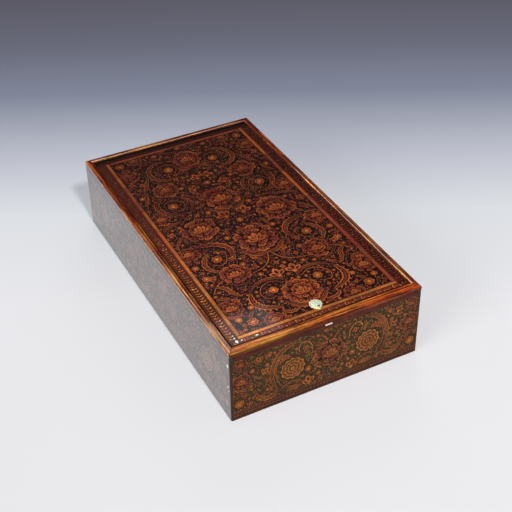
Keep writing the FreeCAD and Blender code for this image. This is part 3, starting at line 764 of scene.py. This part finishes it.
class Shader:
    """Small helper to wire a procedural material on a Principled shader."""

    names = {"colour": "Base Color", "rough": "Roughness", "metal": "Metallic", "normal": "Normal",
             "ior": "IOR", "specular": "Specular IOR Level", "coat": "Coat Weight",
             "coat_rough": "Coat Roughness", "coat_ior": "Coat IOR", "coat_normal": "Coat Normal"}

    def __init__(self, name):
        self.material = bpy.data.materials.new(name)
        self.material.use_nodes = True
        self.tree = self.material.node_tree
        self.base = next(n for n in self.tree.nodes if n.type == "BSDF_PRINCIPLED")
        self.where = self.add("ShaderNodeTexCoord").outputs["Object"]

    def add(self, kind, sockets=(), **settings):
        return add_node(self.tree, kind, sockets, **settings)

    def axes(self):
        return self.add("ShaderNodeSeparateXYZ", {"Vector": self.where}).outputs

    def stretched(self, scale):
        return self.add("ShaderNodeMapping", {"Vector": self.where, "Scale": scale}).outputs[0]

    def noise(self, scale, detail=5.0, rough=0.55, vector=None, warp=0.0):
        sockets = {"Vector": vector or self.where, "Scale": scale, "Detail": detail, "Roughness": rough,
                   "Distortion": warp}
        return self.add("ShaderNodeTexNoise", sockets).outputs["Fac"]

    def span(self, value, low, high, to_low, to_high):
        sockets = {"Value": value, "From Min": low, "From Max": high, "To Min": to_low, "To Max": to_high}
        return self.add("ShaderNodeMapRange", sockets).outputs["Result"]

    def spread(self, noise, low, high):
        """Values from low to high for a noise, which mostly stays between 0.3 and 0.7."""
        return self.span(noise, 0.3, 0.7, low, high)

    def math(self, operation, first, second=0.0):
        return self.add("ShaderNodeMath", {0: first, 1: second}, operation=operation).outputs[0]

    def times(self, first, second):
        return self.math("MULTIPLY", first, second)

    def grey(self, tone):
        return self.add("ShaderNodeRGBToBW", {"Color": tone}).outputs[0]

    def ramp(self, value, stops):
        item = self.add("ShaderNodeValToRGB", {"Fac": value})
        steps = item.color_ramp.elements
        while len(steps) < len(stops):
            steps.new(1.0)
        for step, (at, tone) in zip(steps, stops):
            step.position = at
            step.color = colour(tone)
        return item.outputs["Color"]

    def mix(self, share, first, second, blend="MIX"):
        """Mix of two colours, whose sockets are the numbers 6 and 7 of the node."""
        sockets = {0: share, 6: first, 7: second}
        return self.add("ShaderNodeMix", sockets, data_type="RGBA", blend_type=blend).outputs[2]

    def shaded(self, tone, by):
        return self.mix(1.0, tone, by, "MULTIPLY")

    def bump(self, height, strength, distance):
        sockets = {"Height": height, "Strength": strength, "Distance": distance * MM}
        return self.add("ShaderNodeBump", sockets).outputs[0]

    def put(self, **values):
        for key, value in values.items():
            plug(self.tree, self.base.inputs[self.names[key]], value)
        return self.material


def painted(name, specular, coat, coat_ior, reflection_grey=0.0):
    """Paint under old varnish: uneven tone, fine craze, gold in light tones, a share greyed as painted
    reflection.
    """
    s = Shader(name)
    paint = s.add("ShaderNodeAttribute", attribute_name="paint").outputs["Color"]
    broad = s.spread(s.noise(26, 4), 0.84, 1.16)
    fine = s.spread(s.noise(700, 3), 0.7, 1.3)
    tone = s.shaded(paint, s.times(broad, fine))
    glaze = ((0.36, (255, 214, 206)), (0.5, (244, 240, 236)), (0.64, (236, 255, 226)))
    tone = s.shaded(tone, s.ramp(s.noise(380, 3), glaze))
    cells = s.add("ShaderNodeTexVoronoi", {"Vector": s.where, "Scale": 190}, feature="DISTANCE_TO_EDGE")
    craze = s.span(cells.outputs["Distance"], 0.0, 0.025, 0.0, 1.0)
    patchy = s.span(s.noise(35, 3), 0.48, 0.62, 1.0, 0.74)
    tone = s.shaded(tone, s.math("MAXIMUM", craze, patchy))
    # Painted reflection: a share of the colour turns grey, standing in for the pale floor that the polished
    # long walls mirror.
    if reflection_grey:
        tone = s.mix(reflection_grey, tone, s.grey(tone))
    gilt = s.span(s.grey(paint), 0.05, 0.2, 0.0, 0.5)
    rough = s.spread(s.noise(70, 5), 0.26, 0.38)
    relief = s.math("ADD", s.times(s.noise(260, 4), 0.6), s.times(craze, 0.25))
    return s.put(colour=tone, rough=rough, metal=gilt, normal=s.bump(relief, 0.3, 0.04), specular=specular,
                 coat=coat, coat_rough=0.05, coat_ior=coat_ior, coat_normal=s.bump(s.noise(45, 2), 0.1, 0.25))


RIM_REDS = ((0.36, (44, 11, 9)), (0.46, (108, 34, 16)), (0.54, (154, 62, 24)), (0.64, (204, 108, 40)))
BEAD_REDS = ((0.36, (74, 20, 13)), (0.46, (160, 54, 26)), (0.54, (206, 88, 38)), (0.64, (238, 138, 58)))
RIM_GOLDS = ((0.36, (92, 30, 13)), (0.46, (146, 70, 23)), (0.54, (184, 108, 34)), (0.64, (224, 168, 66)))
WORN_EDGE = (206, 158, 112)


def streaked(name, axis, bare, full, line, reds=RIM_REDS, inner=2.2, shade_line=0.6, top=69.0, coat=1.0,
             wear=0.7):
    """Moulding in streaked lacquer with painted shade on its foot, inner side and a line, gilded towards one
    end.

    The axis is the one it runs along, bare and full the places on it, in metres, with no gilding and with all
    of it, the gold partly a painted highlight, and line the distance of its middle from the box's. Inner and
    groove are the distances of the black side and the black line from that middle, both painted shade, top is
    the height where the painted shade of the foot ends, coat the share of polish, and wear how far the outer
    edge is rubbed bare.
    """
    s = Shader(name)
    scale = [480, 480, 480]
    scale[axis] = 24
    grain = s.noise(1.0, 6, 0.6, s.stretched(scale), 0.4)
    axes = s.axes()
    # Gold towards one end, laid where the highlights fall, so it is partly gilding and partly a painted
    # highlight.
    place = s.math("ADD", axes[axis], s.spread(s.noise(40, 4), -0.05, 0.05))
    leaf = s.span(place, bare, full, 0.0, 1.0)
    tone = s.mix(leaf, s.ramp(grain, reds), s.ramp(grain, RIM_GOLDS))
    uneven = s.spread(s.noise(300, 3), -0.4 * MM, 0.4 * MM)
    # Painted shade: the moulding gets darker below the height top, on its lower part.
    foot = s.span(s.math("ADD", axes[2], uneven), (top - 1.4) * MM, top * MM, 0.3, 1.0)
    inward = s.math("ADD", s.math("SUBTRACT", line * MM, s.math("ABSOLUTE", axes[1 - axis])), uneven)
    # Painted shade: black on the moulding's inner side and in a line along it, where the gap to the lid and a
    # hollow would be dark; the polish is taken off there so they stay black.
    side = s.span(inward, inner * MM, (inner + 0.7) * MM, 1.0, 0.14)
    off_line = s.math("ABSOLUTE", s.math("SUBTRACT", inward, shade_line * MM))
    polished = s.times(side, s.span(off_line, 0.25 * MM, 0.6 * MM, 0.14, 1.0))
    blotch = s.span(s.noise(55, 5), 0.34, 0.5, 0.6, 1.0)
    # Painted shade on the foot, the inner side and the black line, times random blotches.
    tone = s.shaded(tone, s.times(s.times(foot, polished), blotch))
    edge = s.span(inward, -2.3 * MM, -2.7 * MM, 0.0, wear)
    chafed = s.times(s.span(s.noise(330, 3), 0.58, 0.63, 0.0, 1.0), edge)
    tone = s.mix(chafed, tone, colour(WORN_EDGE))
    gilt = s.math("ADD", s.span(grain, 0.4, 0.58, 0.1, 0.22), s.times(leaf, 0.16))
    return s.put(colour=tone, rough=s.spread(s.noise(120, 4), 0.09, 0.17), metal=gilt, specular=0.2,
                 normal=s.bump(grain, 0.1, 0.03), coat=s.times(polished, coat), coat_rough=0.05, coat_ior=1.6)


RED_LACQUER = ((0.3, (92, 24, 16)), (0.55, (120, 34, 20)), (0.75, (138, 48, 26)))

# Places where the lacquer of the case and lid changes, in mm, a little past the faces it belongs to.
INSIDE_INSET = 8.6
SEAT_INSET = 3.3
SEAT_FLOOR = 63.6
LID_UNDERSIDE = 64.1


def case_lacquer():
    """Dark lacquer outside, plain red inside, bare rubbed wood where the lid runs."""
    s = Shader("case_lacquer_finish")
    axes = s.axes()

    def within(inset):
        wide = s.math("DIVIDE", s.math("ABSOLUTE", axes[0]), (half_x - inset) * MM)
        long = s.math("DIVIDE", s.math("ABSOLUTE", axes[1]), (half_y - inset) * MM)
        return s.math("LESS_THAN", s.math("MAXIMUM", wide, long), 1.0)

    seat = s.times(within(SEAT_INSET), s.math("GREATER_THAN", axes[2], SEAT_FLOOR * MM))
    outer = s.ramp(s.noise(48, 5), ((0.3, (30, 17, 13)), (0.6, (56, 28, 19)), (0.75, (84, 42, 24))))
    grain = s.noise(1.0, 6, 0.6, s.stretched((160, 22, 160)), 0.5)
    bare = s.ramp(grain, ((0.3, (84, 52, 30)), (0.55, (128, 84, 50)), (0.75, (156, 110, 68))))
    tone = s.mix(within(INSIDE_INSET), outer, s.ramp(s.noise(38, 6), RED_LACQUER))
    tone = s.mix(seat, tone, bare)
    rough = s.math("MAXIMUM", s.spread(s.noise(90, 4), 0.24, 0.4), s.times(seat, 0.55))
    normal = s.bump(s.noise(300, 4), 0.25, 0.05)
    return s.put(colour=tone, rough=rough, normal=normal, specular=0.2, coat=0.2, coat_rough=0.1)


def lid_lacquer():
    """Edges of the lid in dark red-brown, its underside plain red."""
    s = Shader("lid_lacquer_finish")
    under = s.math("LESS_THAN", s.axes()[2], LID_UNDERSIDE * MM)
    edge = s.ramp(s.noise(60, 5), ((0.3, (56, 21, 17)), (0.6, (78, 31, 22)), (0.78, (108, 48, 30))))
    tone = s.mix(under, edge, s.ramp(s.noise(38, 6), RED_LACQUER))
    rough = s.spread(s.noise(90, 4), 0.24, 0.4)
    return s.put(colour=tone, rough=rough, normal=s.bump(s.noise(300, 4), 0.25, 0.05), specular=0.06)


def wood(name, scale, light, dark):
    """Bare wood with grain along the axis of the smallest scale."""
    s = Shader(name)
    grain = s.noise(1.0, 7, 0.62, s.stretched(scale), 0.8)
    between = tuple((a + b) / 2 for a, b in zip(light, dark))
    tone = s.ramp(grain, ((0.28, dark), (0.5, between), (0.74, light)))
    return s.put(colour=tone, rough=s.spread(grain, 0.45, 0.65), normal=s.bump(grain, 0.3, 0.1))


def nacre():
    """Mother-of-pearl: pale green and rose clouds in wavy layers."""
    s = Shader("nacre_finish")
    waves = {"Vector": s.where, "Scale": 130.0, "Distortion": 9.0, "Detail": 3.0, "Detail Scale": 2.0}
    layers = s.add("ShaderNodeTexWave", waves).outputs["Fac"]
    cloud = s.noise(420, 4, 0.55, None, 0.8)
    tone = s.ramp(s.math("ADD", s.times(layers, 0.45), s.times(cloud, 0.55)), (
        (0.3, (150, 178, 112)), (0.42, (190, 218, 154)), (0.5, (216, 232, 194)), (0.58, (232, 228, 222)),
        (0.7, (210, 204, 216))))
    return s.put(colour=tone, rough=s.spread(cloud, 0.16, 0.3), normal=s.bump(layers, 0.2, 0.06), coat=0.5,
                 coat_rough=0.06, ior=1.6)


def bone(name, light, dark):
    """Polished bone or shell with fine streaks along X."""
    s = Shader(name)
    grain = s.noise(1.0, 6, 0.6, s.stretched((260, 900, 900)), 0.4)
    bright = tuple(min(255, c + 8) for c in light)
    tone = s.ramp(grain, ((0.3, dark), (0.5, light), (0.8, bright)))
    return s.put(colour=tone, rough=s.spread(grain, 0.3, 0.45), normal=s.bump(grain, 0.2, 0.04), coat=0.2,
                 coat_rough=0.2)


def gesso():
    """White ground laid bare where the paint has chipped off."""
    s = Shader("gesso_ground")
    grain = s.noise(900, 5)
    tone = s.ramp(grain, ((0.25, (214, 206, 190)), (0.5, (240, 237, 228)), (0.75, (248, 247, 243))))
    return s.put(colour=tone, rough=s.spread(grain, 0.7, 0.9), normal=s.bump(grain, 0.5, 0.08))


def brass():
    """Dull, stained brass."""
    s = Shader("brass_finish")
    stain = s.noise(900, 4)
    tone = s.ramp(stain, ((0.3, (74, 56, 30)), (0.55, (132, 104, 56)), (0.78, (176, 148, 86))))
    return s.put(colour=tone, rough=s.spread(stain, 0.3, 0.5), metal=1.0, normal=s.bump(stain, 0.2, 0.04))


# Pieces.

white = gesso()
lid_paints = [painted("lid_paint", 0.03, 0.42, 1.45), white]
wall_paints = [painted("wall_paint", 0.03, 0.06, 1.45), white]
# The long walls' paint is partly greyed, a painted reflection of the pale floor.
side_paints = [painted("polished_wall_paint", 0.3, 1.0, 1.5, 0.4), white]

# Bare edges round the films of the walls, in mm, narrow at the top and at the ends of the short walls.
NARROW = 0.6
WIDE = 0.9
VEIL = 0.2

# Edges of the lid's two films, in mm, a little inside the painted field.
LID_SIDE = 79.7
LID_FRONT = -146.7
LID_BACK = 148.2

lid = lid_canvas()
for name, y0, y1 in (("lid_painting_front", LID_FRONT, 0.0), ("lid_painting_back", 0.0, LID_BACK)):
    film(name, lid, (-LID_SIDE, y0), (LID_SIDE, y1), (0, 0, field_top), (1, 0, 0), (0, 1, 0),
         "lid", lid_paints)


def paint_wall(name, seed, half, height, units, origin, across, worn=False):
    """Film on a wall's outer face, polished on the long walls and under a veil on the short ones."""
    long = half > half_x
    edge = WIDE if long else NARROW
    top = height - NARROW
    canvas = wall_canvas(seed, half, top, units, 0.0 if long else VEIL, worn)
    film(name, canvas, (edge - half, WIDE), (half - edge, top), origin, across, (0, 0, 1),
         "case", side_paints if long else wall_paints)


paint_wall("front_painting", 23, half_x, sill, (2.5,), (0, -half_y, 0), (1, 0, 0))
paint_wall("back_painting", 41, half_x, land, (0,), (0, half_y, 0), (-1, 0, 0))
paint_wall("left_painting", 31, half_y, land, (-78, 78), (-half_x, 0, 0), (0, -1, 0), True)
paint_wall("right_painting", 32, half_y, land, (-78, 78), (half_x, 0, 0), (0, 1, 0))


def dress(names, material):
    """Give CAD nodes a finish in place of their plain one."""
    for name in names:
        item = nodes[name]
        if not item.material_slots:
            item.data.materials.append(material)
        for place in item.material_slots:
            place.material = material


# Distances of the middles of the rims and of the lid's bead from the outer faces, in mm.
RIM_MIDDLE = 3
BEAD_MIDDLE = 4

dress(("front_wall", "back_wall", "left_wall", "right_wall"), case_lacquer())
dress(("bottom_board",), wood("bottom_finish", (90, 14, 90), (96, 62, 40), (52, 30, 20)))
# Gold on the rims lies towards the front of the side rims and the left of the back rim, partly as a painted
# highlight.
dress(("left_rim", "right_rim"), streaked("side_rim_finish", 1, 0.14, -0.2, half_x - RIM_MIDDLE))
dress(("back_rim",), streaked("back_rim_finish", 0, 0.12, -0.12, half_y - RIM_MIDDLE))
# The bead: painted shade on its lower part and in a dark line along its inner edge; its gold at the left end
# is partly a painted highlight.
dress(("lid_bead",), streaked("bead_finish", 0, 0.07, -0.05, half_y - BEAD_MIDDLE, BEAD_REDS,
                              inner=3.0, shade_line=3.0, top=71.2, coat=0.0, wear=0.0))
dress(("lid_panel",), lid_lacquer())
dress(("corner_pins", "bottom_pins", "bead_pins"),
      wood("pin_finish", (700, 700, 160), (150, 108, 66), (92, 60, 34)))
dress(("thumb_pin",), brass())


def ringed_mesh(name, rings, kinds, materials):
    """Closed mesh through rings of equal point count, capped at both ends."""
    count = len(rings[0])
    points = [p for ring in rings for p in ring]
    faces, index = [], []
    for r in range(len(rings) - 1):
        for i in range(count):
            j = (i + 1) % count
            faces.append((r * count + i, r * count + j, (r + 1) * count + j, (r + 1) * count + i))
            index.append(kinds[r])
    for r, flip in ((0, True), (len(rings) - 1, False)):
        points.append(np.mean(rings[r], axis=0))
        hub = len(points) - 1
        for i in range(count):
            a, b = r * count + i, r * count + (i + 1) % count
            faces.append((b, a, hub) if flip else (a, b, hub))
            index.append(kinds[0] if flip else kinds[-1])
    mesh = bpy.data.meshes.new(name)
    mesh.from_pydata((np.array(points) * MM).tolist(), [], faces)
    mesh.polygons.foreach_set("material_index", index)
    mesh.polygons.foreach_set("use_smooth", [True] * len(faces))
    return new_piece(name, mesh, materials)


# Thumb piece: drop with a scalloped cream edge and a raised pearl field.
thumb_low, thumb_high = (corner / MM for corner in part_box("thumb_piece"))
ROUND_POINTS = 72
SIDE_POINTS = 10
SCALLOPS = 9


def drop_ring(share, scallop, lift):
    """Ring round the drop, scaled about its round, with scallops of a depth, at a share of its height."""
    radius = (thumb_high.x - thumb_low.x) / 2
    reach = thumb_high.y - thumb_low.y - radius
    lean = asin(radius / reach)
    t = np.linspace(0, 1, ROUND_POINTS)
    a = (pi + 2 * lean) * t - lean
    r = radius * (1 - scallop * (0.5 - 0.5 * np.cos(TAU * SCALLOPS * t)))
    arc = np.c_[r * np.cos(a), r * np.sin(a)]
    tip = (0, -reach)
    sides = [np.linspace(arc[-1], tip, SIDE_POINTS)[1:], np.linspace(tip, arc[0], SIDE_POINTS)[1:-1]]
    outline = np.concatenate([arc] + sides) * share + (0, thumb_high.y - radius)
    height = thumb_low.z + (thumb_high.z - thumb_low.z) * lift
    return np.c_[outline, np.full(len(outline), height)]


# Scale, depth of scallops and share of the height of each ring, from below.
EDGE_PROFILE = ((0.97, 0.10, 0.0), (1.0, 0.10, 0.12), (1.0, 0.10, 0.42), (0.97, 0.09, 0.55),
                (0.91, 0.06, 0.62), (0.85, 0.03, 0.58))
FIELD_PROFILE = ((0.82, 0.0, 0.52), (0.79, 0.0, 0.60), (0.75, 0.0, 0.82), (0.68, 0.0, 0.94),
                 (0.58, 0.0, 0.985), (0.35, 0.0, 1.0))
rings = [drop_ring(*step) for step in EDGE_PROFILE + FIELD_PROFILE]
thumb = ringed_mesh("thumb_drop", rings, [0] * len(EDGE_PROFILE) + [1] * len(FIELD_PROFILE),
                    [bone("shell_rim", (244, 220, 168), (212, 182, 126)), nacre()])
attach(thumb, "lid")
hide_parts("thumb_piece")

# Slip in the lid's front edge, its corners eased.
slip_low, slip_high = (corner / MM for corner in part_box("bone_slip"))
CORNER = 0.5
CORNER_STEPS = 5


def slip_ring(inset, y):
    """Round-cornered ring round the slip at a depth."""
    x0, x1 = slip_low.x + inset + CORNER, slip_high.x - inset - CORNER
    z0, z1 = slip_low.z + inset + CORNER, slip_high.z - inset - CORNER
    points = []
    for quarter, (x, z) in enumerate(((x1, z0), (x1, z1), (x0, z1), (x0, z0))):
        for k in range(CORNER_STEPS + 1):
            a = pi / 2 * (quarter - 1 + k / CORNER_STEPS)
            points.append((x + CORNER * cos(a), y, z + CORNER * sin(a)))
    return np.array(points)


rings = [slip_ring(0.0, slip_high.y)]
for inset, depth in ((0.0, 0.25), (0.08, 0.08), (0.25, 0.0)):
    rings.append(slip_ring(inset, slip_low.y + depth))
slip = ringed_mesh("edge_slip", rings, [0] * len(rings),
                   [bone("slip_bone", (238, 208, 186), (206, 174, 150))])
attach(slip, "lid")
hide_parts("bone_slip")

# Stage.

# Camera, fitted to the edges of the box in the photograph.
eye = Vector((-0.329487, -0.684108, 0.605118))
az, el, roll = (radians(d) for d in (-26.784, 37.214, -1.109))
FOCAL_PIXELS = 1056.27
PICTURE_PIXELS = 512
SENSOR = 36

back = Vector((sin(az) * cos(el), -cos(az) * cos(el), sin(el)))
level = Vector((cos(az), sin(az), 0))
upright = back.cross(level)
right = level * cos(roll) + upright * sin(roll)
upward = upright * cos(roll) - level * sin(roll)
lens = bpy.data.cameras.new("camera")
lens.sensor_width = SENSOR
lens.lens = FOCAL_PIXELS / PICTURE_PIXELS * SENSOR
lens.clip_end = 60
camera = bpy.data.objects.new("camera", lens)
camera.matrix_world = Matrix.Translation(eye) @ Matrix((right, upward, back)).transposed().to_4x4()
scene.collection.objects.link(camera)
scene.camera = camera

# Level direction away from the camera.
heading = Vector((-sin(az), cos(az), 0))

FLOOR_SIZE = 14.0
FLOOR_CELLS = 48
FLOOR_GLOW = 0.28

# Tones of the floor by the distance from the camera's foot.
FLOOR_NEAR = 0.4
FLOOR_FAR = 1.5
FLOOR_TONES = ((0.50, (224, 224, 226)), (0.73, (234, 234, 237)), (0.87, (228, 231, 235)),
               (0.98, (198, 201, 213)), (1.12, (138, 144, 163)), (1.25, (114, 116, 132)),
               (1.40, (101, 99, 112)))


def stage_floor():
    """Pale table that turns blue-grey away from the camera."""
    row = FLOOR_CELLS + 1
    ticks = [(i / FLOOR_CELLS - 0.5) * FLOOR_SIZE for i in range(row)]
    points = [(x, y, 0.0) for y in ticks for x in ticks]
    corners = [j * row + i for j in range(FLOOR_CELLS) for i in range(FLOOR_CELLS)]
    mesh = bpy.data.meshes.new("stage_floor")
    mesh.from_pydata(points, [], [(k, k + 1, k + row + 1, k + row) for k in corners])
    s = Shader("stage_floor")
    along = s.add("ShaderNodeVectorMath", {0: s.where, 1: heading}, operation="DOT_PRODUCT").outputs["Value"]
    ahead = s.math("ADD", along, -eye.dot(heading))
    stops = [((at - FLOOR_NEAR) / (FLOOR_FAR - FLOOR_NEAR), shade) for at, shade in FLOOR_TONES]
    tone = s.ramp(s.span(ahead, FLOOR_NEAR, FLOOR_FAR, 0.0, 1.0), stops)
    s.put(colour=tone, rough=s.spread(s.noise(3, 2), 0.85, 0.95), specular=0.0)
    ray = s.add("ShaderNodeLightPath").outputs
    mirrored = s.math("MAXIMUM", ray["Is Glossy Ray"], ray["Is Transmission Ray"])
    seen = s.math("MAXIMUM", ray["Is Camera Ray"], mirrored)
    glow = s.add("ShaderNodeEmission", {"Color": tone}).outputs[0]
    both = s.add("ShaderNodeMixShader", {0: s.times(seen, FLOOR_GLOW), 1: s.base.outputs[0], 2: glow})
    s.tree.links.new(both.outputs[0], s.tree.nodes["Material Output"].inputs["Surface"])
    floor = new_piece("stage_floor", mesh, [s.material])


stage_floor()

DIM_HEIGHT = radians(28)


def room_light():
    """Pale light all round, dim in the direction that the lid mirrors."""
    world = bpy.data.worlds.new("room")
    scene.world = world
    world.use_nodes = True
    tree = world.node_tree
    away = heading * cos(DIM_HEIGHT) + Vector((0, 0, sin(DIM_HEIGHT)))
    where = add_node(tree, "ShaderNodeTexCoord").outputs["Generated"]
    facing = add_node(tree, "ShaderNodeVectorMath", {0: where, 1: away}, operation="DOT_PRODUCT")
    limits = {"Value": facing.outputs["Value"], "From Min": 0.55, "From Max": 0.9}
    fade = add_node(tree, "ShaderNodeMapRange", limits, interpolation_type="SMOOTHSTEP")
    tones = {0: fade.outputs["Result"], 6: (0.32, 0.32, 0.33, 1), 7: (0.02, 0.02, 0.026, 1)}
    blend = add_node(tree, "ShaderNodeMix", tones, data_type="RGBA")
    tree.links.new(blend.outputs[2], tree.nodes["Background"].inputs["Color"])


room_light()


def softbox(name, spot, aim, size, level):
    """Rectangular lamp whose face has the given brightness."""
    light = bpy.data.lights.new(name, "AREA")
    light.shape = "RECTANGLE"
    light.size, light.size_y = size
    light.energy = level * pi * size[0] * size[1]
    lamp = bpy.data.objects.new(name, light)
    lamp.location = spot
    lamp.rotation_euler = (Vector(spot) - Vector(aim)).to_track_quat("Z", "Y").to_euler()
    lamp.visible_camera = False
    scene.collection.objects.link(lamp)
    return lamp


softbox("front_light", (-0.132, -0.985, 1.19), (0, 0, 0.05), (0.14, 0.14), 245)
softbox("overhead_glow", (0.015, 0.44, 1.1), (0.015, 0.44, 0), (1.03, 1.08), 2.4).visible_diffuse = False
softbox("rim_glow", (0.15, 0.8, 1.1), (0.15, 0.8, 0), (0.3, 0.75), 6.5).visible_diffuse = False
softbox("rear_fill", (1.0, 1.7, 1.2), (0, 0, 0.05), (1.4, 1.4), 1.6).visible_glossy = False
softbox("side_fill", (-2.4, -0.9, 1.1), (0, 0, 0.05), (1.6, 1.6), 5.0).visible_glossy = False

scene.view_settings.view_transform = "Standard"
